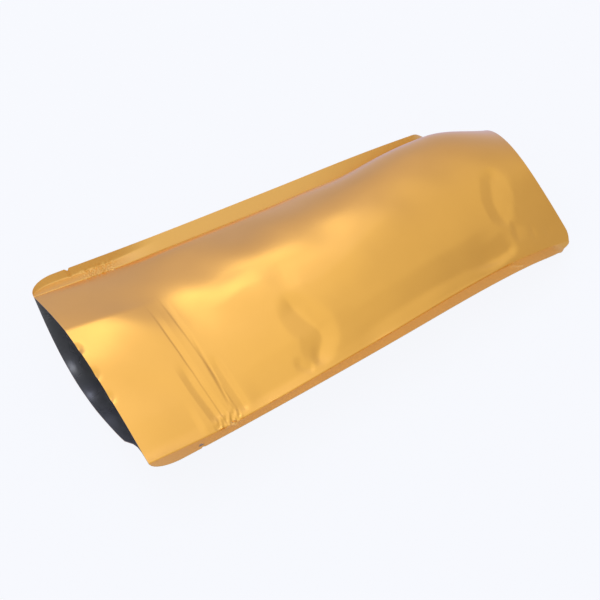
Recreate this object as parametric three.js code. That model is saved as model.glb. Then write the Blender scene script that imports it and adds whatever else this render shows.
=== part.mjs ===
import * as THREE from "three";
import { mergeVertices } from "three/addons/utils/BufferGeometryUtils.js";

// A film stand-up pouch lying on its back, sizes in mm.
// X runs from the open mouth to the gusset bottom, Y from the near seal to the far seal, Z up.

// Flat sizes of the pouch
const LENGTH = 250;
const SEAL_WIDTH = 8.5;
const FILM = 0.7;
const MOUTH_CORNER_DEPTH = 8.1;
const MOUTH_CORNER_LENGTH = 14;
const BOTTOM_CORNER_RADIUS = 9;
const NEAR_CORNER_DEPTH = 8.1;
const NEAR_CORNER_LENGTH = 24;

// Tear notches in the side seals
const NEAR_NOTCH_AT = 25;
const FAR_NOTCH_AT = 21;
const NOTCH_DEPTH = 1.3;
const NOTCH_HALF_WIDTH = 1.1;

// Width that a side seal keeps where its corner rounds off to nothing
const LEAST_SEAL_WIDTH = 0.4;

// Press-to-close zip: a strip on each panel with two tracks
const ZIP_TRACKS_AT = [42, 49.5];
const ZIP_STRIP_FROM = 37;
const ZIP_STRIP_TO = 54;
const ZIP_STRIP_THICKNESS = 0.5;
const ZIP_RIB_WIDTH = 1.2;
const ZIP_RIB_HEIGHT = 1.3;
const ZIP_CHANNEL_HALF = 1.4;
const ZIP_GAP = 0.3;
const ZIP_END_SHARE = 0.07;
const ZIP_RIDGE_HEIGHT = 0.45;
const ZIP_RIDGE_HALF_WIDTH = 1.4;

// Bottom gusset: a recess between the front and back bottom edges
const GUSSET_RECESS_DEPTH = 19;
const GUSSET_RECESS_NARROWING = 0.55;
const GUSSET_FOLD_AT = 211;
const GUSSET_BEND_LENGTH = 15;
const GUSSET_BEND_DEGREES = 66;

// How far the middle of an edge stands back from the line between its corners
const FRONT_LIP_PULL = 1.6;
const BACK_LIP_PULL = -2.3;
const LIP_PULL_LENGTH = 47;
const BOTTOM_PULL = -4.5;
const BOTTOM_PULL_FROM = 165;

// Rounding of the panels' near bottom corner
const NEAR_CORNER_PULL = -2;
const NEAR_CORNER_SHARE = 0.05;
const NEAR_CORNER_FROM = 240;

// End of the near side seal, which narrows and turns down on to the bottom corner
const NEAR_END_FROM = 233;
const NEAR_END_LENGTH = 12;
const NEAR_END_NARROWING = 0.52;
const NEAR_BEND_FROM = 234;
const NEAR_BEND_LENGTH = 12;
const NEAR_BEND_DEGREES = 57;

// Cross sections of the filled-out pouch from the mouth to the bottom.
// half: from the middle to the seal; up: height of the seal; tilt: upward turn of the seal.
// rise and reach steer the front panel as it leaves the seal, sag and drop the back panel.
const SECTIONS = [
  {
    at: 0,
    near: { half: 50.5, up: 24, tilt: 27, rise: 0, reach: 39, sag: 22, drop: 42 },
    far: { half: 60, up: 24.4, tilt: 6, rise: 13, reach: 32, sag: 40, drop: 51 },
  },
  {
    at: 47,
    near: { half: 51.2, up: 20.4, tilt: 41, rise: 9, reach: 30.5, sag: 56, drop: 42 },
    far: { half: 53.9, up: 22.9, tilt: 19, rise: 23, reach: 38, sag: 60, drop: 44 },
  },
  {
    at: 130,
    near: { half: 49.3, up: 20.3, tilt: 34, rise: 29.5, reach: 34.5, sag: 64, drop: 42 },
    far: { half: 46.1, up: 20.5, tilt: 20, rise: 52, reach: 35, sag: 64, drop: 42 },
  },
  {
    at: 215,
    near: { half: 44, up: 13.4, tilt: 27, rise: 40.5, reach: 36.5, sag: 62, drop: 36 },
    far: { half: 39.9, up: 14.5, tilt: 40, rise: 93, reach: 38.7, sag: 62, drop: 36 },
  },
  {
    at: 250,
    near: { half: 43.5, up: 5.2, tilt: 27, rise: 42, reach: 45, sag: 42, drop: 34 },
    far: { half: 36.4, up: 8.5, tilt: 30, rise: 59, reach: 40, sag: 42, drop: 34 },
  },
];

// Bend along the header, where the front panel turns down towards the far seal
const HEADER_BEND_SHARE = 0.7;
const HEADER_BEND_HEIGHT = 4.8;
const HEADER_FAR_CURVE = 1.25;
const HEADER_WHOLE_TO = 16;
const HEADER_GONE_AT = 62;

// Bend along the far seal near the mouth
const FAR_SEAL_DIP = 2.6;
const FAR_SEAL_DIP_SHARE = 0.66;
const FAR_SEAL_DIP_WHOLE_TO = 40;
const FAR_SEAL_DIP_GONE_AT = 70;

// Roll of the front panel along the far seal, highest a little way in from it
const FAR_ROLL_HEIGHT = 1.6;
const FAR_ROLL_SHARE = 0.045;
const FAR_ROLL_FROM = 45;
const FAR_ROLL_WHOLE_FROM = 75;
const FAR_ROLL_WHOLE_TO = 130;
const FAR_ROLL_GONE_AT = 175;

// Mouth corner at the near seal, where the two panels hold together
const CORNER_BOND_LENGTH = 24;
const CORNER_BOND_SHARE = 0.05;
const CORNER_OPEN_SHARE = 0.2;
const CORNER_BOND_GAP = 0.4;

// Height over which the back panel eases on to the surface it lies on
const FLOOR_BLEND = 1.5;

// Share of the front panel at each seal over which the dents and the zip's ridges die away
const RELIEF_FADE_SHARE = 0.08;

// Dents in the front panel: a crease through places, each [station, across], sloping on both sides
const DENTS = [
  { crease: [[99, -11], [103, -34], [96, -45]], mouthSlope: 10, bottomSlope: 24, depth: 1.5 },
  { crease: [[233, -3], [222, -16], [221.5, -29]], mouthSlope: 7, bottomSlope: 11, depth: 1.2 },
];

// Facets: their number across and along, and the stations that the rounded ends need besides
const ACROSS = 28;
const SEAL_SHARES = [0, FAR_SEAL_DIP_SHARE, 1];
const SEAL_STEPS = SEAL_SHARES.length - 1;
const BODY_STEP = 7;
const BODY_AFTER_ZIP = 3;
const MOUTH_STATIONS = [0, 0.6, 2.4, 5, 9, MOUTH_CORNER_LENGTH, 33];
const BOTTOM_STATIONS = [LENGTH - 5, LENGTH - 2, LENGTH - 0.5, LENGTH];
const CAVITY_STEPS = 12;
const CAVITY_CROWDING = 1.3;
const RECESS_STEPS = 5;

const FRONT = 1;
const BACK = -1;

function smoothStep(from, to, value) {
  return THREE.MathUtils.smoothstep(value, from, to);
}

function radians(degrees) {
  return THREE.MathUtils.degToRad(degrees);
}

// Slope of a smooth curve through three values that never overshoots them
function limitedSlope(before, here, after, stepBefore, stepAfter) {
  const left = (here - before) / stepBefore;
  const right = (after - here) / stepAfter;
  if (left * right <= 0) {
    return 0;
  }
  const leftWeight = 2 * stepAfter + stepBefore;
  const rightWeight = stepAfter + 2 * stepBefore;
  return (leftWeight + rightWeight) / (leftWeight / left + rightWeight / right);
}

// One size of the cross section at any station, by a smooth curve through the named sections
function sizeAt(side, size, station) {
  const last = SECTIONS.length - 1;
  const places = SECTIONS.map((section) => section.at);
  const values = SECTIONS.map((section) => section[side][size]);
  const slopes = values.map((value, i) => {
    if (i === 0) {
      return (values[1] - value) / (places[1] - places[0]);
    }
    if (i === last) {
      return (value - values[last - 1]) / (places[last] - places[last - 1]);
    }
    const stepBefore = places[i] - places[i - 1];
    const stepAfter = places[i + 1] - places[i];
    return limitedSlope(values[i - 1], value, values[i + 1], stepBefore, stepAfter);
  });
  let span = 0;
  while (span < last - 1 && station > places[span + 1]) {
    span += 1;
  }
  const step = places[span + 1] - places[span];
  const u = (station - places[span]) / step;
  const rest = 1 - u;
  return (
    rest * rest * (1 + 2 * u) * values[span] +
    u * rest * rest * step * slopes[span] +
    u * u * (3 - 2 * u) * values[span + 1] -
    u * u * rest * step * slopes[span + 1]
  );
}

function sideSizes(side, station) {
  const sizes = {};
  for (const size of Object.keys(SECTIONS[0][side])) {
    sizes[size] = sizeAt(side, size, station);
  }
  return sizes;
}

// How much of a dent's depth is left at a place, from its nearest point on one length of the crease
function dentShare(dent, from, to, place) {
  const length = new THREE.Line3(new THREE.Vector3(...from, 0), new THREE.Vector3(...to, 0));
  const nearest = length.closestPointToPoint(place, true, new THREE.Vector3());
  const slope = place.x < nearest.x ? dent.mouthSlope : dent.bottomSlope;
  return Math.max(0, 1 - place.distanceTo(nearest) / slope) ** 2;
}

function dentDepth(station, across) {
  const place = new THREE.Vector3(station, across, 0);
  let depth = 0;
  for (const dent of DENTS) {
    let share = 0;
    for (let i = 0; i + 1 < dent.crease.length; i++) {
      share = Math.max(share, dentShare(dent, dent.crease[i], dent.crease[i + 1], place));
    }
    depth += dent.depth * share;
  }
  return depth;
}

// A height eased on to the floor, flat where it would go under it
function onFloor(height) {
  if (Math.abs(height) < FLOOR_BLEND) {
    return (height + FLOOR_BLEND) ** 2 / (4 * FLOOR_BLEND);
  }
  return Math.max(0, height);
}

function zipRidge(station) {
  let height = 0;
  for (const track of ZIP_TRACKS_AT) {
    height += Math.max(0, 1 - Math.abs(station - track) / ZIP_RIDGE_HALF_WIDTH);
  }
  return ZIP_RIDGE_HEIGHT * height;
}

function headerLift(station, share) {
  const fade = 1 - smoothStep(HEADER_WHOLE_TO, HEADER_GONE_AT, station);
  if (share < HEADER_BEND_SHARE) {
    return HEADER_BEND_HEIGHT * fade * Math.sin((0.5 * Math.PI * share) / HEADER_BEND_SHARE);
  }
  return HEADER_BEND_HEIGHT * fade * ((1 - share) / (1 - HEADER_BEND_SHARE)) ** HEADER_FAR_CURVE;
}

function farRoll(station, share) {
  const rolled = smoothStep(FAR_ROLL_FROM, FAR_ROLL_WHOLE_FROM, station);
  const left = 1 - smoothStep(FAR_ROLL_WHOLE_TO, FAR_ROLL_GONE_AT, station);
  const fromSeal = (1 - share) / FAR_ROLL_SHARE;
  return FAR_ROLL_HEIGHT * rolled * left * fromSeal * Math.exp(1 - fromSeal);
}

function edgePull(face, station, share) {
  const arch = 4 * share * (1 - share);
  const lip = face === FRONT ? FRONT_LIP_PULL : BACK_LIP_PULL;
  const bottom = face === FRONT ? BOTTOM_PULL * smoothStep(BOTTOM_PULL_FROM, LENGTH, station) : 0;
  const toCorner = Math.max(0, 1 - share / NEAR_CORNER_SHARE) ** 2;
  const corner = NEAR_CORNER_PULL * toCorner * smoothStep(NEAR_CORNER_FROM, LENGTH, station);
  return arch * (lip * (1 - smoothStep(0, LIP_PULL_LENGTH, station)) + bottom) + corner;
}

// How much the panels hold together at a place, 1 where they all but touch
function cornerBond(station, share) {
  const alongMouth = 1 - smoothStep(CORNER_BOND_SHARE, CORNER_OPEN_SHARE, share);
  return alongMouth * (1 - smoothStep(0, CORNER_BOND_LENGTH, station));
}

// A place on the outside of a panel: share 0 at the near seal, 1 at the far seal
function panelPoint(face, station, share) {
  const near = sideSizes("near", station);
  const far = sideSizes("far", station);
  const drop = face === FRONT ? 0 : 2 * FILM;
  const start = new THREE.Vector2(-near.half, near.up - drop);
  const end = new THREE.Vector2(far.half, far.up - drop);
  const nearTurn = radians(face === FRONT ? near.rise : -near.sag);
  const farTurn = radians(face === FRONT ? far.rise : -far.sag);
  const nearReach = face === FRONT ? near.reach : near.drop;
  const farReach = face === FRONT ? far.reach : far.drop;
  const curve = new THREE.CubicBezierCurve(
    start,
    new THREE.Vector2(Math.cos(nearTurn), Math.sin(nearTurn)).multiplyScalar(nearReach).add(start),
    new THREE.Vector2(-Math.cos(farTurn), Math.sin(farTurn)).multiplyScalar(farReach).add(end),
    end,
  );
  const place = curve.getPoint(share);
  const x = station - LENGTH / 2 + edgePull(face, station, share);
  if (face === BACK) {
    const bond = cornerBond(station, share);
    const height = onFloor(place.y);
    if (bond === 0) {
      return new THREE.Vector3(x, place.x, height);
    }
    const front = panelPoint(FRONT, station, share);
    const gap = 2 * FILM + CORNER_BOND_GAP * Math.min(1, share / CORNER_BOND_SHARE);
    const held = new THREE.Vector3(front.x, front.y, front.z - gap);
    return new THREE.Vector3(x, place.x, height).lerp(held, bond);
  }
  const edgeFade = smoothStep(0, RELIEF_FADE_SHARE, Math.min(share, 1 - share));
  const relief = zipRidge(station) - dentDepth(station, place.x);
  const height = place.y + relief * edgeFade + headerLift(station, share) + farRoll(station, share);
  return new THREE.Vector3(x, place.x, height);
}

// A place inside the film: moved in from the panel, and in from the seals by an inset
function insidePoint(face, station, share, inset, depth) {
  const place = panelPoint(face, station, share);
  const toNear = (1 - share) ** 2 * (1 + 2 * share);
  place.y += inset * (2 * toNear - 1);
  place.z -= face * depth;
  return place;
}

function sealWidth(side, station) {
  let width = SEAL_WIDTH;
  const intoMouthCorner = Math.max(0, 1 - station / MOUTH_CORNER_LENGTH);
  width -= MOUTH_CORNER_DEPTH * (1 - Math.sqrt(1 - intoMouthCorner ** 2));
  const cornerLength = side === "near" ? NEAR_CORNER_LENGTH : BOTTOM_CORNER_RADIUS;
  const cornerDepth = side === "near" ? NEAR_CORNER_DEPTH : BOTTOM_CORNER_RADIUS;
  const intoBottomCorner = Math.max(0, 1 - (LENGTH - station) / cornerLength);
  width -= cornerDepth * (1 - Math.sqrt(1 - intoBottomCorner ** 2));
  if (side === "near") {
    width *= 1 - NEAR_END_NARROWING * smoothStep(NEAR_END_FROM, NEAR_END_FROM + NEAR_END_LENGTH, station);
  }
  const notchAt = side === "near" ? NEAR_NOTCH_AT : FAR_NOTCH_AT;
  width -= NOTCH_DEPTH * Math.max(0, 1 - Math.abs(station - notchAt) / NOTCH_HALF_WIDTH);
  return Math.max(width, LEAST_SEAL_WIDTH);
}

// A place on the side seal: share 0 at the fold, 1 at the outer edge
function sealPoint(side, face, station, share) {
  const sizes = sideSizes(side, station);
  const fold = panelPoint(FRONT, station, side === "near" ? 0 : 1);
  const bend =
    side === "far"
      ? GUSSET_BEND_DEGREES * smoothStep(GUSSET_FOLD_AT, GUSSET_FOLD_AT + GUSSET_BEND_LENGTH, station)
      : NEAR_BEND_DEGREES * smoothStep(NEAR_BEND_FROM, NEAR_BEND_FROM + NEAR_BEND_LENGTH, station);
  const tilt = radians(sizes.tilt - bend);
  const out = side === "near" ? -1 : 1;
  const width = sealWidth(side, station) * share;
  fold.y += out * width * Math.cos(tilt);
  fold.z += width * Math.sin(tilt);
  if (side === "far") {
    const left = 1 - smoothStep(FAR_SEAL_DIP_WHOLE_TO, FAR_SEAL_DIP_GONE_AT, station);
    const dipped = Math.min(share / FAR_SEAL_DIP_SHARE, (1 - share) / (1 - FAR_SEAL_DIP_SHARE));
    fold.z -= FAR_SEAL_DIP * left * dipped * (sealWidth(side, station) / SEAL_WIDTH);
  }
  if (face === BACK) {
    fold.z -= 2 * FILM;
  }
  return fold;
}

// A ring of places round the pouch: near seal, front, far seal, far seal below, back, near seal below
function ring(sealPlace, panelPlace) {
  const places = [];
  for (let i = SEAL_STEPS; i > 0; i--) {
    places.push(sealPlace("near", FRONT, SEAL_SHARES[i]));
  }
  for (let i = 0; i <= ACROSS; i++) {
    places.push(panelPlace(FRONT, i / ACROSS));
  }
  for (let i = 1; i <= SEAL_STEPS; i++) {
    places.push(sealPlace("far", FRONT, SEAL_SHARES[i]));
  }
  for (let i = SEAL_STEPS; i > 0; i--) {
    places.push(sealPlace("far", BACK, SEAL_SHARES[i]));
  }
  for (let i = ACROSS; i >= 0; i--) {
    places.push(panelPlace(BACK, i / ACROSS));
  }
  for (let i = 1; i <= SEAL_STEPS; i++) {
    places.push(sealPlace("near", BACK, SEAL_SHARES[i]));
  }
  return places;
}

function outerRing(station) {
  return ring(
    (side, face, share) => sealPoint(side, face, station, share),
    (face, share) => panelPoint(face, station, share),
  );
}

function innerRing(station, inset, depthAt) {
  const panel = (face, share) => insidePoint(face, station, share, inset, depthAt(share));
  return ring((side) => panel(FRONT, side === "near" ? 0 : 1), panel);
}

function outerStations() {
  const stations = [...MOUTH_STATIONS, ...BOTTOM_STATIONS];
  for (const notch of [NEAR_NOTCH_AT, FAR_NOTCH_AT]) {
    stations.push(notch - NOTCH_HALF_WIDTH, notch, notch + NOTCH_HALF_WIDTH);
  }
  for (const track of ZIP_TRACKS_AT) {
    stations.push(track - ZIP_RIDGE_HALF_WIDTH, track, track + ZIP_RIDGE_HALF_WIDTH);
  }
  const bodyFrom = ZIP_STRIP_TO + BODY_AFTER_ZIP;
  const bodyTo = LENGTH - BOTTOM_CORNER_RADIUS;
  const steps = Math.round((bodyTo - bodyFrom) / BODY_STEP);
  for (let i = 0; i <= steps; i++) {
    stations.push(THREE.MathUtils.lerp(bodyFrom, bodyTo, i / steps));
  }
  return stations.sort((a, b) => a - b);
}

// The closed skin over a row of rings; each end is closed from edge to edge across the ring
function skin(rings, closeEnds) {
  const count = rings[0].length;
  const triangles = [];
  for (let i = 0; i + 1 < rings.length; i++) {
    for (let j = 0; j < count; j++) {
      const next = (j + 1) % count;
      const here = i * count;
      const there = here + count;
      triangles.push([here + j, there + j, there + next], [here + j, there + next, here + next]);
    }
  }
  triangles.push(...closeEnds(0, false), ...closeEnds((rings.length - 1) * count, true));
  const geometry = new THREE.BufferGeometry().setFromPoints(rings.flat()).setIndex(triangles.flat());
  const merged = mergeVertices(geometry, 1e-4);
  const index = Array.from(merged.getIndex().array);
  const kept = [];
  for (let i = 0; i < index.length; i += 3) {
    const [a, b, c] = index.slice(i, i + 3);
    if (a !== b && b !== c && c !== a) {
      kept.push(a, b, c);
    }
  }
  merged.setIndex(kept);
  merged.computeVertexNormals();
  return merged;
}

// Closes the end of a pouch ring from front to back
function closeAcross(first, forward) {
  const triangles = [];
  for (let i = 0; i < ACROSS; i++) {
    const front = first + SEAL_STEPS + i;
    const back = first + 3 * SEAL_STEPS + 2 * ACROSS + 1 - i;
    const quad = [
      [front, back, back - 1],
      [front, back - 1, front + 1],
    ];
    triangles.push(...quad.map(([a, b, c]) => (forward ? [a, b, c] : [a, c, b])));
  }
  return triangles;
}

function pouchGeometry() {
  const rings = [];
  const cavityEnd = LENGTH - GUSSET_RECESS_DEPTH - FILM;
  for (let i = 0; i <= CAVITY_STEPS; i++) {
    const station = cavityEnd * (1 - i / CAVITY_STEPS) ** CAVITY_CROWDING;
    rings.push(innerRing(station, FILM, () => FILM));
  }
  for (const station of outerStations()) {
    rings.push(outerRing(station));
  }
  for (let i = 0; i <= RECESS_STEPS; i++) {
    const depth = i / RECESS_STEPS;
    const narrowing = GUSSET_RECESS_NARROWING * SECTIONS.at(-1).near.half;
    const inset = 2 * FILM + narrowing * (1 - Math.sqrt(1 - depth ** 2));
    const gap = (share) => FILM + 4 * FILM * share * (1 - share);
    rings.push(innerRing(LENGTH - GUSSET_RECESS_DEPTH * depth, inset, gap));
  }
  return skin(rings, closeAcross);
}

// Outline of a zip strip's cross section, each [station, distance from the film]
function zipOutline(ribs) {
  const outline = [[ZIP_STRIP_FROM, ZIP_STRIP_THICKNESS]];
  for (const rib of ribs) {
    outline.push(
      [rib - ZIP_RIB_WIDTH / 2, ZIP_STRIP_THICKNESS],
      [rib - ZIP_RIB_WIDTH / 2, ZIP_STRIP_THICKNESS + ZIP_RIB_HEIGHT],
      [rib + ZIP_RIB_WIDTH / 2, ZIP_STRIP_THICKNESS + ZIP_RIB_HEIGHT],
      [rib + ZIP_RIB_WIDTH / 2, ZIP_STRIP_THICKNESS],
    );
  }
  outline.push([ZIP_STRIP_TO, ZIP_STRIP_THICKNESS], [ZIP_STRIP_TO, 0], [ZIP_STRIP_FROM, 0]);
  return outline;
}

function zipGeometry(face, ribs) {
  const outline = zipOutline(ribs);
  const flat = outline.map(([station, height]) => new THREE.Vector2(station, height));
  const caps = THREE.ShapeUtils.triangulateShape(flat, []);
  const rings = [];
  for (let i = 0; i <= ACROSS; i++) {
    const share = THREE.MathUtils.lerp(ZIP_END_SHARE, 1 - ZIP_END_SHARE, i / ACROSS);
    const ridge = face === FRONT ? ZIP_RIDGE_HEIGHT : 0;
    rings.push(
      outline.map(([station, height]) => {
        const place = insidePoint(face, station, share, FILM, FILM + ZIP_GAP + ridge + height);
        place.z -= face === FRONT ? zipRidge(station) : 0;
        return place;
      }),
    );
  }
  const close = (first, atEnd) => {
    const ends = caps.map((cap) => cap.map((corner) => first + corner));
    return ends.map(([a, b, c]) => (atEnd ? [a, b, c] : [a, c, b]));
  };
  return skin(face === FRONT ? rings : rings.reverse(), close);
}

function piece(name, geometry, finish) {
  const mesh = new THREE.Mesh(geometry, new THREE.MeshStandardMaterial(finish));
  mesh.name = name;
  return mesh;
}

const GOLD_FILM = { color: 0xd9a24e, roughness: 0.34, metalness: 0.9 };
const ZIP_PLASTIC = { color: 0xd8d6cf, roughness: 0.45, metalness: 0 };

const maleRibs = ZIP_TRACKS_AT;
const femaleRibs = ZIP_TRACKS_AT.flatMap((track) => [track - ZIP_CHANNEL_HALF, track + ZIP_CHANNEL_HALF]);

const pouch = new THREE.Group();
pouch.name = "stand_up_pouch";
pouch.add(
  piece("pouch", pouchGeometry(), GOLD_FILM),
  piece("zip_front", zipGeometry(FRONT, maleRibs), ZIP_PLASTIC),
  piece("zip_back", zipGeometry(BACK, femaleRibs), ZIP_PLASTIC),
);

// The frame's origin is under the middle of the pouch, on the surface it lies on
const bounds = new THREE.Box3().setFromObject(pouch);
const middle = bounds.getCenter(new THREE.Vector3());
for (const mesh of pouch.children) {
  mesh.geometry.translate(-middle.x, -middle.y, -bounds.min.z);
}

export default pouch;
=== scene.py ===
"""A gold film stand-up pouch that lies on its back with its mouth open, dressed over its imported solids.

Sizes are in millimetres until a mesh is made. A station is a distance from the mouth towards the bottom,
a share runs from 0 at the near side seal to 1 at the far one, and across is a distance from the middle line.
"""

import logging
import math
from dataclasses import dataclass, fields
from enum import Enum

import bmesh
import bpy
import numpy as np
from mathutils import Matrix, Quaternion, Vector

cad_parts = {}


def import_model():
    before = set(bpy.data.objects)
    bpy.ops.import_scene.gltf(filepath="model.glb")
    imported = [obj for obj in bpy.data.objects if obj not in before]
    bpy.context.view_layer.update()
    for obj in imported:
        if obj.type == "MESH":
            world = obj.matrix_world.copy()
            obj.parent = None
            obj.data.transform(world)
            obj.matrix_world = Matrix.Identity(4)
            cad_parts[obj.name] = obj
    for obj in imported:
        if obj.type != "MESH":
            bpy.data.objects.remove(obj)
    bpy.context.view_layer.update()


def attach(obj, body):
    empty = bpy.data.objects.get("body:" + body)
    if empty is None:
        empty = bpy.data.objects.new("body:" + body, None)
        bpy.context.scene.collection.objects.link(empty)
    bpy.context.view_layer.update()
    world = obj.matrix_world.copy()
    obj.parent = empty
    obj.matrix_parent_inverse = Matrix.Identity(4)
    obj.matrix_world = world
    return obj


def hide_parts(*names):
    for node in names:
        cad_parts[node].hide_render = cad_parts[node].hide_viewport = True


LOG = logging.getLogger("stand_up_pouch")
MM = 0.001
BODY = "root"
PICTURE_SIDE = 600
SENSOR_WIDTH = 36.0
SEALED = "sealed"
# From the pouch's own middle line to the frame's origin.
FRAME_SHIFT = (1.15, -4.3596, 0.0)
LEAST_LENGTH = 1e-12
# In metres: places closer than the first are merged, and edges shorter than the second are dissolved.
MERGE_DISTANCE = 1e-7
EMPTY_DISTANCE = 1e-8
# The part of a noise's range in which most of it lies.
NOISE_RANGE = (0.3, 0.7)
DRIFT_DETAIL = 3.0
GRAIN_DETAIL = 2.0

Tone = tuple[float, float, float, float]


class Side(Enum):
    """The two side seals; the value is the way out from the middle line, along Y."""

    NEAR = -1
    FAR = 1


class Face(Enum):
    """The two panels; the value is the way out of the pouch, along Z."""

    FRONT = 1
    BACK = -1


class Slot(Enum):
    """The record's material slots."""

    FILM = "gold_film"
    ZIP = "zip_plastic"
    LINING = "inner_lining"


def smooth_step(low: float, high: float, value: np.ndarray) -> np.ndarray:
    """Eases from 0 at low to 1 at high.

    Args:
        low: Where the ease starts.
        high: Where it ends.
        value: The places to work out.

    Returns:
        The eased share at each place.
    """
    share = np.clip((value - low) / (high - low), 0.0, 1.0)
    return share * share * (3.0 - 2.0 * share)


def monotone_curve(places: np.ndarray, values: np.ndarray, at: np.ndarray) -> np.ndarray:
    """Follows a smooth curve through values that never overshoots them.

    Args:
        places: Where the values are, in rising order.
        values: One value for each place.
        at: The places to work out.

    Returns:
        The curve's value at each place.
    """
    step = np.diff(places)
    secant = np.diff(values) / step
    slope = np.zeros(len(values))
    slope[0], slope[-1] = secant[0], secant[-1]
    for i in range(1, len(values) - 1):
        left, right = secant[i - 1], secant[i]
        if left * right > 0:
            left_weight = 2 * step[i] + step[i - 1]
            right_weight = step[i] + 2 * step[i - 1]
            slope[i] = (left_weight + right_weight) / (left_weight / left + right_weight / right)
    span = np.clip(np.searchsorted(places, at) - 1, 0, len(places) - 2)
    u = (at - places[span]) / step[span]
    rest = 1.0 - u
    return (
        rest * rest * (1 + 2 * u) * values[span]
        + u * rest * rest * step[span] * slope[span]
        + u * u * (3 - 2 * u) * values[span + 1]
        - u * u * rest * step[span] * slope[span + 1]
    )


@dataclass(frozen=True)
class SideSizes:
    """One half of a cross section: its side seal, and how the two panels leave it.

    half is the distance from the middle to the seal, up its height and tilt its upward turn.
    rise and reach steer the front panel as it leaves the seal, sag and drop the back panel.
    """

    half: float
    up: float
    tilt: float
    rise: float
    reach: float
    sag: float
    drop: float


@dataclass(frozen=True)
class Section:
    """A cross section of the filled-out pouch at one station."""

    at: float
    near: SideSizes
    far: SideSizes


SECTIONS = (
    Section(0, SideSizes(50.5, 24, 27, 0, 39, 22, 42), SideSizes(60, 24.4, 6, 13, 32, 40, 51)),
    Section(47, SideSizes(51.2, 20.4, 41, 9, 30.5, 56, 42), SideSizes(53.9, 22.9, 19, 23, 38, 60, 44)),
    Section(130, SideSizes(49.3, 20.3, 34, 29.5, 34.5, 64, 42), SideSizes(46.1, 20.5, 20, 52, 35, 64, 42)),
    Section(215, SideSizes(44, 13.4, 27, 40.5, 36.5, 62, 36), SideSizes(39.9, 14.5, 40, 93, 38.7, 62, 36)),
    Section(250, SideSizes(43.5, 5.2, 27, 42, 45, 42, 34), SideSizes(36.4, 8.5, 30, 59, 40, 42, 34)),
)


@dataclass(frozen=True)
class Crease:
    """A line pressed into the film, with a slope on each side of it.

    The path goes through (station, across) places; on a side seal, across is measured from its fold.
    left_slope and right_slope are the widths of the slopes on its two hands, going along it. A negative
    depth raises a ridge. swell above zero narrows the slopes towards both ends, to the form of a leaf, no
    further than least_swell and least_slope let them. last_taper is the share of its length over which it
    dies away at its last place, the same as taper if not given.
    """

    path: tuple[tuple[float, float], ...]
    depth: float
    left_slope: float
    right_slope: float
    sharpness: float = 1.0
    taper: float = 0.25
    rounding: float = 0.5
    swell: float = 0.0
    last_taper: float | None = None
    least_swell: float = 0.02
    least_slope: float = 0.4

    def height(self, station: np.ndarray, across: np.ndarray) -> np.ndarray:
        """Works out how far the line lifts the film.

        Args:
            station: Stations of the places.
            across: Distances of the places from the middle line, or from a seal's fold.

        Returns:
            The lift at each place, below zero in a valley.
        """
        points = np.array(self.path, float)
        spans = np.linalg.norm(np.diff(points, axis=0), axis=1)
        starts = np.concatenate([[0.0], np.cumsum(spans)])
        nearest = np.full(station.shape, np.inf)
        hand, run = np.zeros(station.shape), np.zeros(station.shape)
        for i, span in enumerate(spans):
            way = (points[i + 1] - points[i]) / span
            east, north = station - points[i, 0], across - points[i, 1]
            along = np.clip(east * way[0] + north * way[1], 0.0, span)
            off_east, off_north = east - along * way[0], north - along * way[1]
            distance = np.hypot(off_east, off_north)
            closer = distance < nearest
            nearest = np.where(closer, distance, nearest)
            hand = np.where(closer, way[0] * off_north - way[1] * off_east, hand)
            run = np.where(closer, (starts[i] + along) / starts[-1], run)
        slope = np.where(hand > 0, self.left_slope, self.right_slope)
        narrowed = np.maximum(4 * run * (1 - run), self.least_swell) ** self.swell
        slope = np.maximum(slope * narrowed, self.least_slope)
        distance = np.hypot(nearest, self.rounding) - self.rounding
        share = np.clip(1.0 - distance / slope, 0.0, 1.0) ** self.sharpness
        last_taper = self.taper if self.last_taper is None else self.last_taper
        share = share * smooth_step(0, self.taper, run) * smooth_step(0, last_taper, 1 - run)
        return -self.depth * share


def wavering_line(
    start: tuple[float, float], end: tuple[float, float], seed: int, count: int = 14, waver: float = 0.16
) -> tuple[tuple[float, float], ...]:
    """Draws a line that wavers a little, as a pressed line in loose film does.

    Args:
        start: Its first (station, across) place.
        end: Its last place.
        seed: Picks how it wavers.
        count: How many places it goes through.
        waver: How far the places stand off along the stations.

    Returns:
        The line's places.
    """
    draw = np.random.default_rng(seed)
    shares = np.linspace(0, 1, count)
    off = draw.uniform(-waver, waver, count)
    return tuple(
        (start[0] + (end[0] - start[0]) * share + aside, start[1] + (end[1] - start[1]) * share)
        for share, aside in zip(shares.tolist(), off.tolist())
    )


@dataclass(frozen=True)
class HeaderBend:
    """The bend along the header, where the front panel turns down towards the far seal."""

    share: float = 0.70
    height: float = 4.8
    far_curve: float = 1.25
    whole_to: float = 16.0
    gone_at: float = 62.0

    def lift(self, station: np.ndarray, share: np.ndarray) -> np.ndarray:
        """Works out how far the bend lifts the panel.

        Args:
            station: Stations of the places.
            share: Shares of the places.

        Returns:
            The lift at each place.
        """
        near = np.sin(0.5 * np.pi * np.clip(share / self.share, 0, 1))
        far = np.clip((1 - share) / (1 - self.share), 0, 1) ** self.far_curve
        fade = 1 - smooth_step(self.whole_to, self.gone_at, station)
        return self.height * np.where(share < self.share, near, far) * fade


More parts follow.
